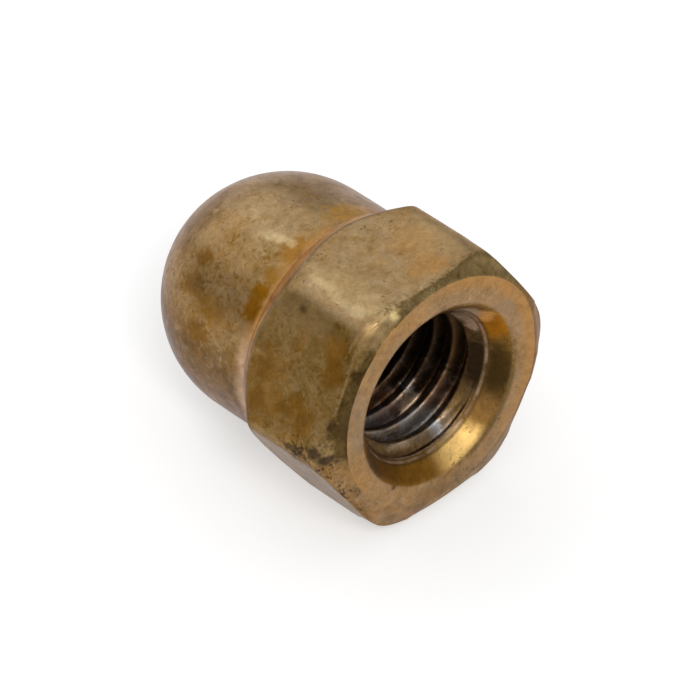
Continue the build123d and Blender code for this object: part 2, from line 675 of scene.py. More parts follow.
def edge_wear_group():
    """Bare metal along worn edges, broken up by the surface."""
    group, start, end = new_group(
        "edge_wear", {"Place": None, "Edge": 0.0, "Amount": 0.5, "Size": 0.25}, "Mask"
    )
    lumps = noise(group, start["Place"], start["Size"], 7.0, roughness=0.6)
    broken = calculate(group, "MULTIPLY_ADD", lumps, 0.6, -0.3)
    edge = calculate(group, "MULTIPLY_ADD", start["Edge"], start["Amount"], broken)
    group.links.new(rise(group, edge, 0.15, 0.55), end)
    return group


def surface_grain_group():
    """Height in mm of the fine grain, and of the shallow waves that years of handling leave."""
    group, start, end = new_group(
        "surface_grain", {"Place": None, "Grain": 0.001, "Waves": 0.006}, "Height"
    )
    fine = noise(group, start["Place"], 0.07, 3.0, roughness=0.6)
    wide = noise(group, start["Place"], 0.9, 5.0, detail=2.0, roughness=0.45)
    waves = product(group, wide, start["Waves"])
    group.links.new(calculate(group, "MULTIPLY_ADD", fine, start["Grain"], waves), end)
    return group


def turning_marks_group():
    """Height in mm of the rings that the lathe tool leaves."""
    group, start, end = new_group(
        "turning_marks", {"Place": None, "Travel": 0.0, "Depth": 0.001}, "Height"
    )
    travel = add_node(group, "ShaderNodeCombineXYZ")
    group.links.new(start["Travel"], travel.inputs["X"])
    rings = noise(group, travel.outputs["Vector"], 0.05, 2.0, roughness=0.7)
    patchy = noise(group, start["Place"], 0.8, 4.0, detail=2.0)
    group.links.new(product(group, rings, patchy, start["Depth"]), end)
    return group


GROUPS = {
    "cloud": tarnish_cloud_group(),
    "mottle": mottle_group(),
    "specks": specks_group(),
    "scratches": scratches_group(),
    "stain": stain_group(),
    "wear": edge_wear_group(),
    "grain": surface_grain_group(),
    "marks": turning_marks_group(),
}


def principled(name):
    """A material with its shader node."""
    material = bpy.data.materials.new(name)
    material.use_nodes = True
    return material, material.node_tree.nodes["Principled BSDF"]


def nut_place(tree):
    """The place in the nut's own frame, in mm."""
    coordinates = add_node(tree, "ShaderNodeTexCoord")
    mapping = add_node(tree, "ShaderNodeMapping", vector_type="TEXTURE")
    tree.links.new(coordinates.outputs["Object"], mapping.inputs["Vector"])
    mapping.inputs["Location"].default_value = mouth_centre
    mapping.inputs["Rotation"].default_value = (0, -TILT, 0)
    mapping.inputs["Scale"].default_value = (MM, MM, MM)
    return mapping.outputs["Vector"]


def split(tree, place):
    """The three parts of a place."""
    parts = add_node(tree, "ShaderNodeSeparateXYZ")
    tree.links.new(place, parts.inputs[0])
    return parts.outputs


def depth_of(tree, place):
    """Depth of a place from the mouth face."""
    return product(tree, split(tree, place)["X"], -1.0)


def radius_of(tree, place):
    """Distance of a place from the axis."""
    return calculate_vector(tree, "LENGTH", calculate_vector(tree, "MULTIPLY", place, (0, 1, 1)))


def along(tree, place, direction):
    """How far a place lies in this direction."""
    parts = split(tree, calculate_vector(tree, "MULTIPLY", place, direction))
    return calculate(tree, "ADD", calculate(tree, "ADD", parts[0], parts[1]), parts[2])


def attribute(tree, name):
    """A share that mark_surfaces stored."""
    return add_node(tree, "ShaderNodeAttribute", attribute_name=name).outputs["Fac"]


# Colours of the brass and of what has settled on it, and colours that paint highlights, glints and shade
AMBER = (0.25, 0.115, 0.014, 1)
DARK_AMBER = (0.17, 0.075, 0.006, 1)
ORANGE = (0.42, 0.2, 0.045, 1)
BRIGHT_ORANGE = (0.55, 0.29, 0.06, 1)
BROWN = (0.11, 0.06, 0.018, 1)
DARK_OLIVE = (0.06, 0.034, 0.01, 1)
OLIVE_BROWN = (0.12, 0.07, 0.022, 1)
BLACK_GRIME = (0.04, 0.025, 0.015, 1)
# Pale gold and cream: bare worn metal, and painted highlights on the top, the dome and the worn edge
PALE_GOLD_WEAR_AND_HIGHLIGHT = (0.52, 0.37, 0.18, 1)
CREAM_WEAR_AND_HIGHLIGHT = (0.6, 0.45, 0.24, 1)
# A painted highlight in the countersink
PAINTED_HIGHLIGHT_GOLD = (0.8, 0.53, 0.19, 1)
WORN_TAN = (0.38, 0.25, 0.115, 1)
OLIVE_TAN = (0.28, 0.18, 0.075, 1)
RING_EDGE = (0.25, 0.13, 0.04, 1)
# A painted highlight
PAINTED_GLINT = (0.98, 0.74, 0.34, 1)
VIVID_AMBER = (0.25, 0.1, 0.002, 1)
VIVID_ORANGE = (0.36, 0.14, 0.006, 1)
BURNT_ORANGE = (0.31, 0.145, 0.025, 1)
# Worn crests of the thread, and painted highlights on them
CREST_WEAR_AND_HIGHLIGHT = (0.6, 0.43, 0.28, 1)
BLUE_STEEL = (0.3, 0.28, 0.27, 1)
# Painted shade in the thread
PAINTED_SHADE_BLACK = (0.016, 0.009, 0.005, 1)
RED_BROWN = (0.17, 0.075, 0.03, 1)
# A painted highlight along the countersink's lip
PAINTED_HIGHLIGHT_LINE = (0.7, 0.36, 0.1, 1)
# Painted highlight along the neck fillet, orange above and pink below
NECK_HIGHLIGHT_ORANGE = (0.74, 0.4, 0.12, 1)
NECK_HIGHLIGHT_PINK = (0.56, 0.37, 0.23, 1)
PINK_GREY = (0.28, 0.19, 0.11, 1)
# Grey patches in the thread, and a painted glint
STEEL_GREY_AND_GLINT = (0.45, 0.47, 0.48, 1)
# The pale lip of the first thread, partly a painted highlight
THREAD_LIP_AND_HIGHLIGHT = (0.5, 0.36, 0.26, 1)

# What is left of the reflection towards the silhouette
EDGE_TINT = (0.85, 0.82, 0.86, 1)

# Rows of colours for the mottling, from its dark spots to its pale ones. The rows for the top, the
# underside and the side flats are lit and shaded copies: painted light and shade over the tarnish
# Painted light: the top of the dome and the top flat, lit from above
PAINTED_LIT_TOP = [
    (0.22, 0.115, 0.028), (0.33, 0.205, 0.08), (0.375, 0.25, 0.118),
    (0.41, 0.28, 0.145), (0.5, 0.365, 0.205),
]
DOME_SIDE = [
    (0.17, 0.08, 0.012), (0.26, 0.145, 0.04), (0.31, 0.19, 0.075),
    (0.34, 0.215, 0.1), (0.42, 0.29, 0.15),
]
# Painted shade underneath the dome, over its tarnish
PAINTED_SHADE_UNDERSIDE = [
    (0.07, 0.03, 0.005), (0.12, 0.063, 0.014), (0.155, 0.09, 0.028),
    (0.19, 0.113, 0.042), (0.26, 0.165, 0.075),
]
# Side flats and parts of the chamfer: tarnish, darkened with painted shade
SHADED_TARNISH_FLAT = [
    (0.1, 0.045, 0.006), (0.19, 0.105, 0.022), (0.24, 0.145, 0.045),
    (0.27, 0.172, 0.064), (0.33, 0.22, 0.1),
]
MOUTH_RING = [
    (0.18, 0.1, 0.036), (0.27, 0.165, 0.072), (0.31, 0.19, 0.088),
    (0.34, 0.215, 0.105), (0.42, 0.3, 0.17),
]
SUNK_AMBER = [
    (0.11, 0.045, 0.006), (0.18, 0.085, 0.015), (0.23, 0.12, 0.024),
    (0.28, 0.16, 0.045), (0.38, 0.25, 0.1),
]
OLIVE_CHAMFER = [
    (0.1, 0.065, 0.022), (0.15, 0.1, 0.035), (0.2, 0.135, 0.05),
    (0.25, 0.17, 0.065), (0.32, 0.22, 0.09),
]
# The dark of the chamfer: tarnish and painted shade
DARK_CHAMFER_TARNISH_AND_SHADE = [
    (0.03, 0.016, 0.004), (0.05, 0.028, 0.008), (0.075, 0.045, 0.014),
    (0.11, 0.07, 0.023), (0.2, 0.13, 0.05),
]
THREAD_FLANK = [
    (0.03, 0.016, 0.008), (0.09, 0.045, 0.016), (0.15, 0.085, 0.035),
    (0.24, 0.15, 0.075), (0.34, 0.25, 0.16),
]
# Deeper in the hole: grime, and painted shade
DEEP_GRIME_AND_SHADE = [
    (0.012, 0.007, 0.004), (0.04, 0.022, 0.012), (0.08, 0.047, 0.027),
    (0.12, 0.08, 0.052), (0.2, 0.16, 0.12),
]

# Stains on the outside, with painted highlights and a painted shade among them: colour, strength, centre
# and reach in the nut's own frame, in mm
OUTSIDE_STAINS_AND_PAINTED_LIGHT = [
    (DARK_AMBER, 0.8, (-7.1, -2.41, 2.76), (0.4, 0.3, 0.35)),
    (DARK_AMBER, 0.7, (-7.03, -3.01, 2.11), (0.5, 0.35, 0.4)),
    (AMBER, 0.6, (-5.9, -3.2, 1.8), (0.9, 0.6, 0.5)),
    (VIVID_AMBER, 0.95, (-4.6, -2.43, 2.82), (0.35, 0.3, 0.3)),
    (VIVID_AMBER, 0.95, (-4.6, -2.86, 2.37), (0.4, 0.4, 0.45)),
    (AMBER, 0.7, (-4.6, -2.0, 3.1), (0.35, 0.4, 0.3)),
    (BURNT_ORANGE, 0.9, (-4.6, -1.15, 3.56), (0.45, 0.5, 0.45)),
    (BRIGHT_ORANGE, 0.95, (-4.77, 1.05, 3.57), (0.55, 0.8, 0.5)),
    (BROWN, 0.35, (-8.3, -1.6, 2.8), (0.8, 1.2, 0.9)),
    (DARK_AMBER, 0.8, (-6.3, -3.5, 1.0), (0.5, 0.3, 0.4)),
    (PALE_GOLD_WEAR_AND_HIGHLIGHT, 0.3, (-7.42, -1.99, 3.0), (0.5, 0.5, 0.4)),
    # The cream streak on top of the dome is a painted highlight
    (CREAM_WEAR_AND_HIGHLIGHT, 0.6, (-5.58, -1.14, 3.54), (0.28, 0.16, 0.3)),
    (CREAM_WEAR_AND_HIGHLIGHT, 0.7, (-5.24, -1.05, 3.57), (0.28, 0.18, 0.3)),
    (CREAM_WEAR_AND_HIGHLIGHT, 0.5, (-4.88, -1.0, 3.58), (0.22, 0.16, 0.3)),
    (ORANGE, 0.5, (-1.91, 1.17, 4.0), (0.9, 0.8, 0.3)),
    (ORANGE, 0.6, (-0.78, 0.7, 4.0), (0.5, 0.8, 0.3)),
    # Cream and pale gold along the long worn edge: wear, and a painted highlight
    (CREAM_WEAR_AND_HIGHLIGHT, 0.65, (-2.4, -1.88, 3.99), (0.7, 0.16, 0.4)),
    (CREAM_WEAR_AND_HIGHLIGHT, 0.6, (-1.3, -2.05, 3.97), (0.8, 0.18, 0.4)),
    (PALE_GOLD_WEAR_AND_HIGHLIGHT, 0.5, (-0.4, -1.7, 3.97), (0.4, 0.4, 0.4)),
    (PALE_GOLD_WEAR_AND_HIGHLIGHT, 0.3, (-1.7, 1.6, 4.0), (1.1, 0.9, 0.3)),
    (OLIVE_TAN, 0.6, (-2.5, -2.7, 3.2), (1.5, 0.35, 0.5)),
    # More of the painted highlight along the worn edge
    (CREAM_WEAR_AND_HIGHLIGHT, 0.6, (-0.85, -1.95, 3.97), (0.35, 0.18, 0.3)),
    (OLIVE_TAN, 0.4, (-3.19, -1.7, 4.0), (0.6, 0.4, 0.3)),
    # Painted shade that dims the reflection at the worn mouth corner
    (OLIVE_BROWN, 0.45, (-0.2, -2.3, 3.55), (0.35, 0.3, 0.3)),
    (WORN_TAN, 0.7, (-0.16, -2.04, 3.64), (0.35, 0.3, 0.3)),
    # A painted highlight at the mouth corner: its pale halo and its hot spot
    (PALE_GOLD_WEAR_AND_HIGHLIGHT, 0.7, (-0.15, -1.4, 3.8), (0.3, 0.35, 0.3)),
    (PAINTED_GLINT, 0.95, (-0.08, -1.33, 3.77), (0.16, 0.16, 0.16)),
    (PALE_GOLD_WEAR_AND_HIGHLIGHT, 0.4, (-1.9, -1.6, 4.0), (1.4, 0.5, 0.4)),
    (BROWN, 0.8, (-2.56, -2.65, 3.42), (0.16, 0.16, 0.16)),
    (AMBER, 0.7, (-0.95, -2.9, 2.98), (0.4, 0.45, 0.5)),
    (DARK_AMBER, 0.85, (-0.73, -3.23, 2.4), (0.4, 0.45, 0.6)),
    (BROWN, 0.9, (-3.21, -3.75, 1.5), (0.4, 0.25, 0.35)),
    (BROWN, 0.6, (-3.09, -4.17, 0.78), (0.3, 0.3, 0.3)),
    (DARK_AMBER, 0.8, (-1.64, -3.89, 1.27), (0.5, 0.2, 0.25)),
    (DARK_AMBER, 0.6, (-1.21, -4.22, 0.69), (0.5, 0.25, 0.25)),
    (BROWN, 0.45, (-3.2, -4.34, 0.49), (0.3, 0.4, 0.8)),
    (AMBER, 0.6, (-3.0, -3.9, 1.0), (0.9, 0.8, 1.4)),
    (AMBER, 0.45, (-1.6, -4.1, 0.8), (1.0, 0.6, 0.8)),
    (DARK_AMBER, 0.6, (-1.96, -4.09, 0.91), (0.5, 0.2, 0.2)),
    (DARK_AMBER, 0.6, (-1.18, -4.02, 1.03), (0.4, 0.2, 0.3)),
    (DARK_OLIVE, 0.9, (-0.08, -3.82, 1.05), (0.35, 0.25, 0.45)),
    (BLACK_GRIME, 0.85, (-0.5, -4.44, 0.31), (0.35, 0.3, 0.22)),
    (BLACK_GRIME, 0.85, (-0.19, -4.25, 0.11), (0.3, 0.3, 0.2)),
    (BLACK_GRIME, 0.7, (-1.29, -4.51, 0.1), (0.6, 0.3, 0.12)),
]

# Stains on the mouth face, in the countersink and in the thread, with painted highlights, glints and shade
# among those in the countersink and the thread
FACE_STAINS = [
    (PINK_GREY, 0.6, (0, 2.72, 1.54), (0.5, 0.8, 0.8)),
    (PINK_GREY, 0.6, (0, -3.1, 1.0), (0.5, 0.5, 1.8)),
    (ORANGE, 0.35, (0, -1.2, 3.35), (0.5, 1.2, 0.4)),
    (ORANGE, 0.35, (0, -3.3, -1.0), (0.5, 0.6, 0.8)),
    (OLIVE_BROWN, 0.45, (0, -0.5, -3.7), (0.5, 1.8, 0.9)),
    (BLACK_GRIME, 0.8, (0, -1.95, -2.22), (0.25, 0.15, 0.12)),
    (BLACK_GRIME, 0.8, (-0.05, 1.1, -3.6), (0.25, 0.2, 0.12)),
]
COUNTERSINK_STAINS_AND_HIGHLIGHTS = [
    # A painted highlight, where the countersink reflects the softbox by the camera
    (PAINTED_HIGHLIGHT_GOLD, 0.95, (-0.22, 0.7, -2.55), (0.9, 1.05, 0.8)),
    # Darker brown on the upper right of the highlight: painted shade that bounds it
    (RING_EDGE, 0.85, (-0.3, 2.05, -1.85), (0.7, 0.6, 0.65)),
    (DARK_OLIVE, 0.95, (-0.34, 2.5, -0.75), (0.9, 0.6, 1.1)),
    (VIVID_ORANGE, 0.95, (-0.26, 2.45, 1.0), (0.9, 0.6, 0.75)),
    (AMBER, 0.9, (-0.3, -0.9, -2.5), (0.9, 1.2, 0.8)),
    (DARK_AMBER, 0.9, (-0.3, -2.1, -1.6), (0.9, 1.0, 1.3)),
    (BROWN, 0.9, (-0.2, -2.55, -1.1), (0.6, 0.5, 0.7)),
    # A painted highlight along the lip
    (PAINTED_HIGHLIGHT_LINE, 1.0, (-0.33, 2.2, 1.45), (0.35, 0.3, 0.45)),
    # The pale lip of the first thread, partly a painted highlight
    (THREAD_LIP_AND_HIGHLIGHT, 0.85, (-0.53, 1.75, 1.74), (0.3, 0.6, 0.6)),
]
THREAD_STAINS_AND_PAINTED_LIGHT = [
    (BLUE_STEEL, 0.6, (-1.5, 0.6, -2.2), (0.7, 1.0, 0.6)),
    (BLUE_STEEL, 0.5, (-2.4, -0.4, -2.2), (0.6, 0.9, 0.6)),
    # A painted glint
    (STEEL_GREY_AND_GLINT, 0.8, (-1.0, 0.55, -2.1), (0.25, 0.25, 0.3)),
    (RED_BROWN, 0.7, (-1.9, 1.3, -1.7), (0.6, 0.6, 0.7)),
    (RED_BROWN, 0.6, (-3.0, 0.3, -2.2), (0.6, 0.8, 0.5)),
    # A painted highlight on a crest
    (CREST_WEAR_AND_HIGHLIGHT, 0.9, (-2.3, 0.9, -2.2), (0.35, 0.35, 0.35)),
    (OLIVE_BROWN, 0.85, (-0.92, 1.45, -1.6), (0.4, 0.6, 0.6)),
    # Painted shade on the wall of the thread
    (PAINTED_SHADE_BLACK, 0.9, (-0.75, 2.25, -0.5), (0.5, 0.6, 1.3)),
    (BROWN, 0.85, (-0.95, -1.62, -1.44), (0.45, 0.7, 0.8)),
    (BROWN, 0.65, (-0.95, 0.1, -2.15), (0.3, 0.5, 0.3)),
    # The pale lip of the first thread, partly a painted highlight
    (THREAD_LIP_AND_HIGHLIGHT, 0.85, (-0.75, 1.9, 1.35), (0.25, 0.6, 0.85)),
]

# Clouds of tarnish: size in mm, share that they cover, softness, seed and swirl
AMBER_CLOUDS = (0.55, 0.32, 0.09, 21.0, 1.6)
PINK_CLOUDS = (0.7, 0.3, 0.1, 24.0, 1.2)
DARK_AMBER_CLOUDS = (0.4, 0.3, 0.09, 25.0, 1.4)
ORANGE_CLOUDS = (1.1, 0.3, 0.12, 22.0, 0.8)
NECK_CLOUDS = (0.8, 0.75, 0.25, 27.0, 0.8)
FRONT_LINE_CLOUDS = (0.2, 0.45, 0.06, 28.0, 1.5)
LOW_TAN_CLOUDS = (0.5, 0.5, 0.12, 34.0, 0.8)
LOW_ORANGE_CLOUDS = (0.6, 0.45, 0.12, 30.0, 0.8)
FACE_CLOUDS = (0.8, 0.4, 0.15, 26.0, 0.8)
BRIGHT_LINE_CLOUDS = (0.5, 0.5, 0.2, 29.0, 0.8)
CREST_CLOUDS = (0.5, 0.55, 0.1, 31.0, 0.8)
SILVER_CLOUDS = (0.4, 0.35, 0.08, 33.0, 0.8)

# Specks: size in mm, share that they cover and seed
TOP_PALE_SPECKS = (0.11, 0.5, 71.0)
TOP_DARK_SPECKS = (0.14, 0.5, 73.0)
LOW_EDGE_SPECKS = (0.13, 0.55, 61.0)
COUNTERSINK_SPECKS = (0.08, 0.36, 41.0)

# Patches that shape a finish: centre and reach, in mm
WORN_CORNER = ((-0.1, -2.15, 3.6), (0.6, 0.6, 0.6))
LOW_EDGE = ((-0.7, -4.2, -0.4), (1.6, 0.6, 1.2))
LOW_RIM = ((-0.2, -3.8, -2.0), (0.5, 0.7, 1.6))
DARK_LIP = ((0, 2.4, -1.9), (1, 2.2, 2.2))
# The lower wall of the thread: rubbed, and painted lighter as the lit side
LIT_AND_RUBBED_THREAD = ((-1, -0.5, -2.3), (3, 2.6, 1.9))

# Where each finish starts and where it is full, in mm from the axis or from the mouth face.
# First by height
# The painted light from above on the dome and the flats changes over these heights
DOME_SIDES = (3.7, 2.9)
DOME_UNDERSIDE = (1.6, 0.4)
AMBER_DOME = (3.5, 2.6)
FLAT_SIDES = (3.75, 3.5)
BELOW_TOP_FLAT = (3.6, 3.3)
FLECKED_TOP = (4.0, 3.0)
UPPER_NECK = (1.2, 2.2)
BELOW_FAR_NECK = (3.0, 1.5)
NECK_UNDERSIDE = (-0.9, -2.0)
UPPER_RIM = (2.0, 3.5)
TOP_FLAT = (3.65, 3.9)
# By how far it lies to the right
FAR_NECK = (0.5, 2.5)
FAR_CHAMFER = (1.5, 3.0)
LEFT_CHAMFER = (-1.6, -2.4)
LOW_CHAMFER = (0.6, -1.0)
LEFT_OF_TOP = (1.0, 0.0)
# By depth
DOME_START = (4.15, 4.3)
BESIDE_NECK = ((4.8, 4.35), (4.0, 4.2))
IN_NECK = ((4.3, 4.14), (4.0, 4.12))
FRONT_OF_FLATS = (3.4, 2.8)
REAR_OF_FLATS = (3.2, 3.6)
FRONT_LINE = (0.5, 0.15)
TOP_FRONT_LINE = (0.55, 0.3)
THREAD_LAND = (1.0, 0.75)
# Deeper in the hole, darker: grime and painted shade
GRIMED_AND_SHADED_THREAD = (1.2, 2.6)
RUBBED_CRESTS = (4.5, 1.0)
SILVER_THREAD = (1.2, 1.6)
# By radius
SHOULDER = (4.25, 3.95)
DARK_WEDGE = (4.5, 4.22)
INNER_RIM = (4.05, 3.82)
OUTER_BAND = (3.3, 3.6)
LIP = (3.2, 3.0)
COUNTERSINK = (2.98, 2.88)
COUNTERSINK_END = (2.54, 2.49)
# The bright line at the countersink's end is a painted highlight
BRIGHT_LINE = ((2.48, 2.45), (2.4, 2.42))
THREAD_CREST = (2.45, 2.1)
# By how far it lies in a direction, which is written above its ranges
ABOVE_LEFT = (0, -0.3, 0.95)
CLEAN_CHAMFER = (0.3, 1.5)
UP_THE_LEFT_FLAT = (0, 0.5, 0.866)
DARK_CHAMFER_ENDS = ((-2.3, -1.7), (2.2, 1.2))
BELOW_LEFT_FLAT = (-1.8, -2.3)
TO_THE_RIGHT = (0, 0.92, 0.4)
RIGHT_OF_FACE = (0.6, 2.6)
# By how worn an edge is
WORN_REAR = (0.3, 0.8)
WORN_CREST = (0.4, 0.9)


def stain(tree, place, centre, reach, ragged=1.2):
    """Where one ragged stain lies."""
    return use_group(tree, GROUPS["stain"], Place=place, Centre=centre, Reach=reach, Ragged=ragged)


def stained(tree, colour, place, stains, ragged=1.2):
    """Lay each stain over the colour."""
    for over, strength, centre, reach in stains:
        colour = laid(tree, colour, stain(tree, place, centre, reach, ragged), strength, over)
    return colour


def bumped(tree, shader, height):
    """Feed a height in mm to the shader as a bump."""
    bump = add_node(tree, "ShaderNodeBump")
    bump.inputs["Strength"].default_value = 1
    bump.inputs["Distance"].default_value = MM
    tree.links.new(height, bump.inputs["Height"])
    tree.links.new(bump.outputs["Normal"], shader.inputs["Normal"])


def mottled(tree, value, colours):
    """A colour from a row of colours, as the value goes from 0 to 1."""
    node = add_node(tree, "ShaderNodeValToRGB")
    ramp = node.color_ramp
    while len(ramp.elements) < len(colours):
        ramp.elements.new(0.5)
    for step, colour in enumerate(colours):
        ramp.elements[step].position = step / (len(colours) - 1)
        ramp.elements[step].color = (*colour, 1)
    tree.links.new(value, node.inputs["Fac"])
    return node.outputs["Color"]


def laid(tree, colour, mask, share, over):
    """The colour over laid on, where the mask says, and no more than this share."""
    return blend(tree, product(tree, mask, share), colour, over)


def band(tree, value, start, end):
    """1 in a band of the value that starts and ends softly."""
    return product(tree, rise(tree, value, *start), rise(tree, value, *end))


def cloud(tree, place, size, cover, softness, seed, swirl):
    """Where clouds of tarnish lie."""
    return use_group(
        tree, GROUPS["cloud"],
        Place=place, Size=size, Cover=cover, Softness=softness, Swirl=swirl, Seed=seed,
    )


def specks(tree, place, size, cover, seed):
    """Where small specks lie."""
    return use_group(tree, GROUPS["specks"], Place=place, Size=size, Cover=cover, Seed=seed)


def scuffed(tree, colour, place, seed):
    """Fine pale and dark scratches and small dark specks over the colour."""
    scratches = GROUPS["scratches"]
    pale = use_group(tree, scratches, Place=place, Size=0.32, Width=0.035, Cover=0.45, Seed=seed)
    colour = laid(tree, colour, pale, 0.35, PALE_GOLD_WEAR_AND_HIGHLIGHT)
    dark = use_group(tree, scratches, Place=place, Size=0.28, Width=0.03, Cover=0.35, Seed=seed + 5)
    colour = laid(tree, colour, dark, 0.35, BROWN)
    return laid(tree, colour, specks(tree, place, 0.1, 0.3, seed + 9), 0.6, BROWN)


def flecked(tree, colour, place, share, seed):
    """Small curling flecks over the colour, dark ones and pale ones."""
    lumps = noise(tree, place, 0.3, seed, detail=2.0, roughness=0.5, swirl=1.3)
    colour = laid(tree, colour, rise(tree, lumps, 0.57, 0.64), product(tree, share, 0.6), DARK_AMBER)
    lumps = noise(tree, place, 0.33, seed + 3, detail=2.0, roughness=0.5, swirl=1.3)
    return laid(tree, colour, rise(tree, lumps, 0.58, 0.66), product(tree, share, 0.35), WORN_TAN)


def grained(tree, colour, place):
    """The colour made lighter and darker from spot to spot, under the stains as well as between them."""
    fine = noise(tree, place, 0.3, 11.0, detail=4.0, roughness=0.8, swirl=0.8)
    shade = calculate(tree, "MULTIPLY_ADD", fine, 1.2, 0.4)
    node = add_node(tree, "ShaderNodeVectorMath", operation="SCALE")
    tree.links.new(colour, node.inputs["Vector"])
    tree.links.new(shade, node.inputs["Scale"])
    return node.outputs["Vector"]


def finish_metal(tree, shader, place, duller):
    """Make the shader a dull metal that is duller in patches, and dullest where duller is 1."""
    shader.inputs["Metallic"].default_value = 1
    shader.inputs["Specular Tint"].default_value = EDGE_TINT
    dull = calculate(tree, "MULTIPLY_ADD", noise(tree, place, 0.5, 8.0, detail=4.0), 0.3, 0.2)
    tree.links.new(calculate(tree, "MULTIPLY_ADD", duller, 0.3, dull), shader.inputs["Roughness"])


def dome_colour(tree, place, mottle, height):
    """The dome: pale on top, amber on its sides and dull underneath. Its pale top and dark underside are
    painted light and shade over the tarnish.
    """
    top = mottled(tree, mottle, PAINTED_LIT_TOP)
    colour = blend(tree, rise(tree, height, *DOME_SIDES), top, mottled(tree, mottle, DOME_SIDE))
    colour = blend(tree, rise(tree, height, *DOME_UNDERSIDE), colour, mottled(tree, mottle, PAINTED_SHADE_UNDERSIDE))
    amber = product(tree, rise(tree, height, *AMBER_DOME), 0.75)
    colour = laid(tree, colour, cloud(tree, place, *AMBER_CLOUDS), amber, AMBER)
    return laid(tree, colour, cloud(tree, place, *PINK_CLOUDS), 0.35, PINK_GREY)


def flat_colour(tree, place, mottle, height):
    """The flats: pale on top, and dull with dark amber clouds on the sides. The pale top and the dull sides
    are painted light and shade as well as tarnish.
    """
    top = mottled(tree, mottle, PAINTED_LIT_TOP)
    colour = blend(tree, rise(tree, height, *FLAT_SIDES), top, mottled(tree, mottle, SHADED_TARNISH_FLAT))
    below_top = product(tree, rise(tree, height, *BELOW_TOP_FLAT), 0.6)
    return laid(tree, colour, cloud(tree, place, *DARK_AMBER_CLOUDS), below_top, DARK_AMBER)


def with_neck_highlight(tree, colour, place, depth, side, height):
    """The neck orange above and pink below, partly tarnish and partly a painted highlight along the neck
    fillet, and less so on the far side and underneath.
    """
    upper = rise(tree, height, *UPPER_NECK)
    patchy = cloud(tree, place, *NECK_CLOUDS)
    beside_neck = product(tree, band(tree, depth, *BESIDE_NECK), patchy)
    colour = laid(tree, colour, beside_neck, 0.75, blend(tree, upper, NECK_HIGHLIGHT_PINK, ORANGE))
    shoulder = product(tree, attribute(tree, "shoulder"), rise(tree, radius_of(tree, place), *SHOULDER))
    in_neck = calculate(tree, "MAXIMUM", band(tree, depth, *IN_NECK), shoulder)
    # Less of the painted highlight on the far side and underneath
    far_side = product(tree, rise(tree, side, *FAR_NECK), rise(tree, height, *BELOW_FAR_NECK))
    far_side = calculate(tree, "MAXIMUM", far_side, rise(tree, height, *NECK_UNDERSIDE))
    kept = calculate(tree, "MULTIPLY_ADD", far_side, -0.6, 1.0)
    broken = calculate(tree, "MULTIPLY_ADD", patchy, 0.4, 0.6)
    in_neck = product(tree, in_neck, kept, broken)
    return laid(tree, colour, in_neck, 0.85, blend(tree, upper, NECK_HIGHLIGHT_PINK, NECK_HIGHLIGHT_ORANGE))


def with_worn_edges(tree, colour, place, depth, edge):
    """Bare metal along the edges, pink-grey at the rear, and a broken dark line at the front."""
    worn = use_group(tree, GROUPS["wear"], Place=place, Edge=edge, Amount=0.8)
    colour = laid(tree, colour, worn, product(tree, rise(tree, depth, *FRONT_OF_FLATS), 0.25), PALE_GOLD_WEAR_AND_HIGHLIGHT)
    rear = product(tree, rise(tree, edge, *WORN_REAR), rise(tree, depth, *REAR_OF_FLATS))
    colour = laid(tree, colour, rear, 0.7, PINK_GREY)
    front_line = product(tree, rise(tree, depth, *FRONT_LINE), cloud(tree, place, *FRONT_LINE_CLOUDS))
    return laid(tree, colour, front_line, 0.55, OLIVE_BROWN)


def with_chamfer(tree, colour, place, mottle, side, height):
    """The mouth chamfer: olive above, ragged and dark on the left, and tan with clouds below it. Its
    darkness is tarnish and painted shade.
    """
    clean = blend(tree, rise(tree, side, *FAR_CHAMFER), mottled(tree, mottle, SHADED_TARNISH_FLAT), RING_EDGE)
    above = rise(tree, along(tree, place, ABOVE_LEFT), *CLEAN_CHAMFER)
    clean = blend(tree, above, clean, mottled(tree, mottle, OLIVE_CHAMFER))
    colour = laid(tree, colour, attribute(tree, "mouth_chamfer"), 0.9, clean)

    front = attribute(tree, "mouth_front")
    up_the_flat = along(tree, place, UP_THE_LEFT_FLAT)
    dark_side = band(tree, up_the_flat, *DARK_CHAMFER_ENDS)
    dark_side = product(tree, dark_side, rise(tree, side, *LEFT_CHAMFER), front)
    colour = laid(tree, colour, dark_side, 0.7, mottled(tree, mottle, SHADED_TARNISH_FLAT))
    radius = radius_of(tree, place)
    lumps = noise(tree, place, 0.35, 32.0, roughness=0.6, swirl=0.8)
    ragged_radius = calculate(tree, "MULTIPLY_ADD", lumps, 0.7, radius)
    wedge = product(tree, dark_side, rise(tree, ragged_radius, *DARK_WEDGE))
    upper_rim = product(tree, rise(tree, radius, *INNER_RIM), rise(tree, height, *UPPER_RIM), front, 0.35)
    dark_rim = calculate(tree, "MAXIMUM", wedge, upper_rim)
    # Dark wedge and rim: tarnish, and painted shade
    colour = laid(tree, colour, dark_rim, 0.95, mottled(tree, mottle, DARK_CHAMFER_TARNISH_AND_SHADE))

    below = rise(tree, up_the_flat, *BELOW_LEFT_FLAT)
    low_side = product(tree, below, rise(tree, side, *LOW_CHAMFER), front)
    colour = laid(tree, colour, low_side, 0.95, mottled(tree, mottle, MOUTH_RING))
    tanned = product(tree, low_side, cloud(tree, place, *LOW_TAN_CLOUDS))
    colour = laid(tree, colour, tanned, 0.55, OLIVE_BROWN)
    tinted = product(tree, low_side, cloud(tree, place, *LOW_ORANGE_CLOUDS))
    return laid(tree, colour, tinted, 0.4, ORANGE)


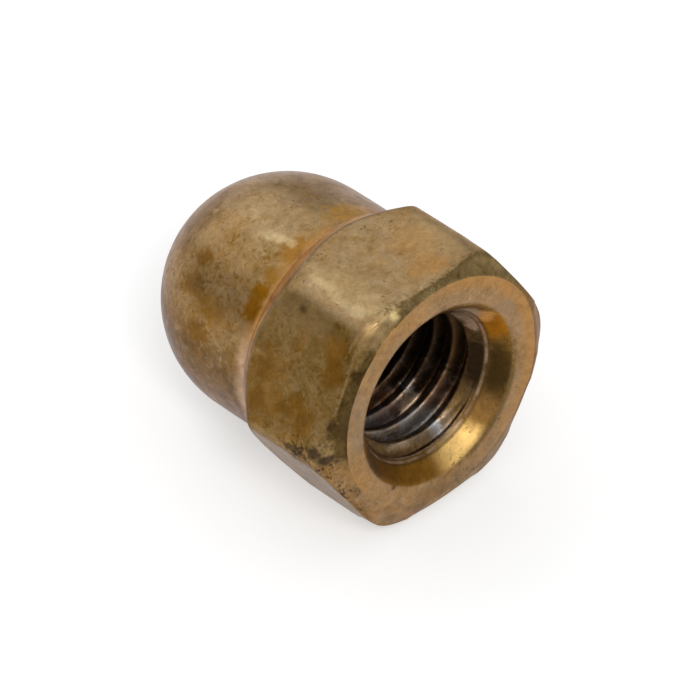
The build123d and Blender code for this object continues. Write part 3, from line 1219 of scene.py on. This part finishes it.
def with_edge_specks(tree, colour, place, depth, side, height):
    """Pale and dark specks along the top front edge, and black ones along the low edges."""
    top_edge = product(tree, rise(tree, height, *TOP_FLAT), rise(tree, depth, *TOP_FRONT_LINE))
    top_edge = product(tree, top_edge, rise(tree, side, *LEFT_OF_TOP))
    pale = product(tree, specks(tree, place, *TOP_PALE_SPECKS), top_edge)
    colour = laid(tree, colour, pale, 0.2, CREAM_WEAR_AND_HIGHLIGHT)
    dark = product(tree, specks(tree, place, *TOP_DARK_SPECKS), top_edge)
    colour = laid(tree, colour, dark, 0.55, OLIVE_BROWN)
    low_edges = calculate(tree, "MAXIMUM", stain(tree, place, *LOW_EDGE), stain(tree, place, *LOW_RIM))
    black = product(tree, specks(tree, place, *LOW_EDGE_SPECKS), low_edges)
    return laid(tree, colour, black, 0.85, BLACK_GRIME)


def tarnished_brass_and_painted_light():
    """The outside of the nut: dome, neck, flats and mouth chamfer, tarnished, with painted light and shade
    in its colour.
    """
    material, shader = principled("tarnished_brass_and_painted_light")
    tree = material.node_tree
    place = nut_place(tree)
    depth = depth_of(tree, place)
    parts = split(tree, place)
    side = parts["Y"]
    height = parts["Z"]
    edge = attribute(tree, "worn_edge")
    mottle = use_group(tree, GROUPS["mottle"], Place=place, Size=0.9, Seed=1.0)
    # Painted light and shade: pale tops, darker sides and undersides, over the tarnish
    flats = flat_colour(tree, place, mottle, height)
    dome = dome_colour(tree, place, mottle, height)
    colour = blend(tree, rise(tree, depth, *DOME_START), flats, dome)
    colour = laid(tree, colour, cloud(tree, place, *ORANGE_CLOUDS), 0.3, ORANGE)
    colour = flecked(tree, colour, place, rise(tree, height, *FLECKED_TOP), 50.0)
    colour = scuffed(tree, colour, place, 2.0)
    colour = with_neck_highlight(tree, colour, place, depth, side, height)
    colour = with_worn_edges(tree, colour, place, depth, edge)
    colour = with_chamfer(tree, colour, place, mottle, side, height)
    colour = laid(tree, colour, stain(tree, place, *WORN_CORNER), 0.7, WORN_TAN)
    # Stains, and the painted highlights and shade among them
    colour = stained(tree, colour, place, OUTSIDE_STAINS_AND_PAINTED_LIGHT)
    colour = with_edge_specks(tree, colour, place, depth, side, height)
    tree.links.new(grained(tree, colour, place), shader.inputs["Base Color"])
    finish_metal(tree, shader, place, edge)
    bumped(tree, shader, use_group(tree, GROUPS["grain"], Place=place))
    return material


def face_colour(tree, place, mottle, radius):
    """The mouth face: scuffed, with an orange band on the right and a dark lip below."""
    colour = scuffed(tree, mottled(tree, mottle, MOUTH_RING), place, 6.0)
    colour = stained(tree, colour, place, FACE_STAINS)
    colour = laid(tree, colour, cloud(tree, place, *FACE_CLOUDS), 0.35, ORANGE)
    right_side = rise(tree, along(tree, place, TO_THE_RIGHT), *RIGHT_OF_FACE)
    outer_band = product(tree, rise(tree, radius, *OUTER_BAND), right_side)
    colour = laid(tree, colour, outer_band, calculate(tree, "MULTIPLY_ADD", mottle, 0.45, 0.35), ORANGE)
    lip = product(tree, stain(tree, place, *DARK_LIP), rise(tree, radius, *LIP))
    return laid(tree, colour, lip, 0.8, OLIVE_BROWN)


def countersink_colour(tree, place, mottle, radius):
    """The countersink: amber with placed stains and a painted highlight, and a bright line beside its dark
    end, painted as the highlight on that edge.
    """
    colour = stained(tree, mottled(tree, mottle, SUNK_AMBER), place, COUNTERSINK_STAINS_AND_HIGHLIGHTS, 0.35)
    colour = laid(tree, colour, specks(tree, place, *COUNTERSINK_SPECKS), 0.6, BROWN)
    colour = laid(tree, colour, rise(tree, radius, *COUNTERSINK_END), 0.7, BROWN)
    # The bright line is a painted highlight on the edge at the countersink's end
    bright_line = product(tree, band(tree, radius, *BRIGHT_LINE), cloud(tree, place, *BRIGHT_LINE_CLOUDS))
    return laid(tree, colour, bright_line, 0.6, THREAD_LIP_AND_HIGHLIGHT)


def turned_mouth_brass():
    """The mouth face, its lip and the countersink."""
    material, shader = principled("turned_mouth_brass")
    tree = material.node_tree
    place = nut_place(tree)
    radius = radius_of(tree, place)
    mottle = use_group(tree, GROUPS["mottle"], Place=place, Size=0.7, Seed=3.0)
    face = face_colour(tree, place, mottle, radius)
    sunk = countersink_colour(tree, place, mottle, radius)
    in_countersink = rise(tree, radius, *COUNTERSINK)
    colour = grained(tree, blend(tree, in_countersink, face, sunk), place)
    tree.links.new(colour, shader.inputs["Base Color"])
    finish_metal(tree, shader, place, product(tree, in_countersink, 0.7))
    bumped(tree, shader, use_group(tree, GROUPS["marks"], Place=place, Travel=radius, Depth=0.003))
    return material


def thread_streaks(tree, depth, side):
    """Where dark streaks run round the thread."""
    round_thread = add_node(tree, "ShaderNodeCombineXYZ")
    tree.links.new(depth, round_thread.inputs["X"])
    tree.links.new(product(tree, side, 0.12), round_thread.inputs["Y"])
    return rise(tree, noise(tree, round_thread.outputs["Vector"], 0.09, 36.0, roughness=0.7), 0.5, 0.3)


def grimy_shaded_thread_brass():
    """The thread and the end of the hole, dark with old grime, with painted light and shade: lighter on the
    crests and the lower wall, darker deeper in.
    """
    material, shader = principled("grimy_shaded_thread_brass")
    tree = material.node_tree
    place = nut_place(tree)
    depth = depth_of(tree, place)
    mottle = use_group(tree, GROUPS["mottle"], Place=place, Size=0.6, Seed=14.0)
    lit_and_rubbed_side = stain(tree, place, *LIT_AND_RUBBED_THREAD)
    # Painted light and shade: lighter towards the crests, on the lit lower wall and near the mouth
    lit = calculate(tree, "ADD", mottle, rise(tree, radius_of(tree, place), *THREAD_CREST))
    lit = product(tree, lit, calculate(tree, "MULTIPLY_ADD", lit_and_rubbed_side, 0.5, 0.2))
    lit = calculate(tree, "MULTIPLY_ADD", rise(tree, depth, *THREAD_LAND), 0.3, lit)
    deep = mottled(tree, lit, DEEP_GRIME_AND_SHADE)
    # Darker deeper in: grime and painted shade
    colour = blend(tree, rise(tree, depth, *GRIMED_AND_SHADED_THREAD), mottled(tree, lit, THREAD_FLANK), deep)
    # Pale crests on the lower wall: wear, and a painted highlight
    crests = rise(tree, attribute(tree, "worn_edge"), *WORN_CREST)
    rubbed = product(tree, crests, cloud(tree, place, *CREST_CLOUDS), lit_and_rubbed_side)
    colour = laid(tree, colour, rubbed, rise(tree, depth, *RUBBED_CRESTS), CREST_WEAR_AND_HIGHLIGHT)
    silver = product(tree, cloud(tree, place, *SILVER_CLOUDS), lit_and_rubbed_side)
    silver = product(tree, silver, rise(tree, depth, *SILVER_THREAD))
    colour = laid(tree, colour, silver, 0.6, STEEL_GREY_AND_GLINT)
    colour = laid(tree, colour, thread_streaks(tree, depth, split(tree, place)["Y"]), 0.6, BLACK_GRIME)
    colour = grained(tree, stained(tree, colour, place, THREAD_STAINS_AND_PAINTED_LIGHT), place)
    tree.links.new(colour, shader.inputs["Base Color"])
    shader.inputs["Metallic"].default_value = 1
    dull = calculate(tree, "MULTIPLY_ADD", noise(tree, place, 0.3, 8.0, detail=4.0), 0.5, 0.2)
    tree.links.new(dull, shader.inputs["Roughness"])
    bumped(tree, shader, use_group(tree, GROUPS["grain"], Place=place, Grain=0.008, Waves=0.03))
    return material


# Where the photograph was taken from, in metres and radians. The lens and the sensor are in mm
CAMERA_AZIMUTH = math.radians(47.19)
CAMERA_ELEVATION = math.radians(44.42)
CAMERA_DISTANCE = 172.5 * MM
CAMERA_TARGET = Vector((1.04, 0.09, 3.38)) * MM
CAMERA_LENS = 305.1
SENSOR_WIDTH = 36
NEAREST_SEEN = 0.01


def make_camera():
    """The camera, where the photograph was taken from."""
    data = bpy.data.cameras.new("camera")
    data.lens = CAMERA_LENS
    data.sensor_width = SENSOR_WIDTH
    data.clip_start = NEAREST_SEEN
    camera = bpy.data.objects.new("camera", data)
    bpy.context.scene.collection.objects.link(camera)
    level = Vector((math.sin(CAMERA_AZIMUTH), -math.cos(CAMERA_AZIMUTH), 0))
    away = level * math.cos(CAMERA_ELEVATION) + Vector((0, 0, math.sin(CAMERA_ELEVATION)))
    camera.location = CAMERA_TARGET + CAMERA_DISTANCE * away
    camera.rotation_euler = away.to_track_quat("Z", "Y").to_euler()
    bpy.context.scene.camera = camera


# The floor: its own grey and the lift it is seen with, and where it turns to plain white, in metres
FLOOR_SIZE = 2
FLOOR_GREY = 0.62
FLOOR_LIFT = 0.5
FLOOR_WHITE = (0.03, 0.14)

# The room: its greys by height, from the skirting to the ceiling
SKIRTING_HEIGHT = 0.015
SKIRTING_WHITE = 1.0
HORIZON_HEIGHT = 0.05
HORIZON_GREY = 0.4
CEILING_HEIGHT = 0.6
CEILING_GREY = 0.62

# The softboxes: where each stands, how wide it is and its power
SOFTBOXES = [
    ("back_softbox", (-0.31, 0.0, 0.23), 0.5, 0.4),
    ("camera_side_softbox", (0.16, -0.086, 0.22), 0.08, 0.25),
]


def grey(level):
    """A plain grey colour."""
    return (level, level, level, 1)


def make_stage():
    """A pale floor, plain white far off. Its lift, seen directly and in reflections, keeps the shadow."""
    bpy.ops.object.select_all(action="DESELECT")
    bpy.ops.mesh.primitive_plane_add(size=FLOOR_SIZE)
    floor = bpy.context.active_object
    floor.name = "floor"
    material, shader = principled("pale_floor")
    tree = material.node_tree
    place = add_node(tree, "ShaderNodeTexCoord").outputs["Object"]
    far_off = rise(tree, calculate_vector(tree, "LENGTH", place), *FLOOR_WHITE)
    tree.links.new(blend(tree, far_off, grey(FLOOR_GREY), grey(0)), shader.inputs["Base Color"])
    shader.inputs["Roughness"].default_value = 0.9
    shader.inputs["Specular IOR Level"].default_value = 0
    shader.inputs["Emission Color"].default_value = grey(1)
    lift = calculate(tree, "MULTIPLY_ADD", far_off, 1 - FLOOR_LIFT, FLOOR_LIFT)
    tree.links.new(product(tree, seen_directly(tree), lift), shader.inputs["Emission Strength"])
    floor.data.materials.append(material)


def seen_directly(tree):
    """1 for what the camera sees, also in reflections and through glass."""
    path = tree.nodes.new("ShaderNodeLightPath")
    both = calculate(tree, "MAXIMUM", path.outputs["Is Camera Ray"], path.outputs["Is Glossy Ray"])
    return calculate(tree, "MAXIMUM", both, path.outputs["Is Transmission Ray"])


def area_light(name, place, size, power):
    """A square softbox that faces the nut."""
    data = bpy.data.lights.new(name, "AREA")
    data.shape = "SQUARE"
    data.size = size
    data.energy = power
    light = bpy.data.objects.new(name, data)
    light.location = place
    light.rotation_euler = Vector(place).to_track_quat("Z", "Y").to_euler()
    bpy.context.scene.collection.objects.link(light)


def light_studio():
    """Light the nut from the room and the softboxes."""
    world = bpy.data.worlds.new("studio")
    bpy.context.scene.world = world
    world.use_nodes = True
    tree = world.node_tree
    background = tree.nodes["Background"]
    direction = tree.nodes.new("ShaderNodeTexCoord")
    height = tree.nodes.new("ShaderNodeSeparateXYZ")
    tree.links.new(direction.outputs["Generated"], height.inputs[0])
    room = tree.nodes.new("ShaderNodeValToRGB")
    room.color_ramp.interpolation = "EASE"
    horizon, ceiling = room.color_ramp.elements
    horizon.position = HORIZON_HEIGHT
    horizon.color = grey(HORIZON_GREY)
    ceiling.position = CEILING_HEIGHT
    ceiling.color = grey(CEILING_GREY)
    skirting = room.color_ramp.elements.new(SKIRTING_HEIGHT)
    skirting.color = grey(SKIRTING_WHITE)
    tree.links.new(height.outputs["Z"], room.inputs["Fac"])
    tree.links.new(room.outputs["Color"], background.inputs["Color"])
    for name, place, size, power in SOFTBOXES:
        area_light(name, place, size, power)
    bpy.context.scene.view_settings.view_transform = "Standard"


make_camera()
nut = make_nut()
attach(nut, "root")
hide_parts("cap_nut")
make_stage()
light_studio()
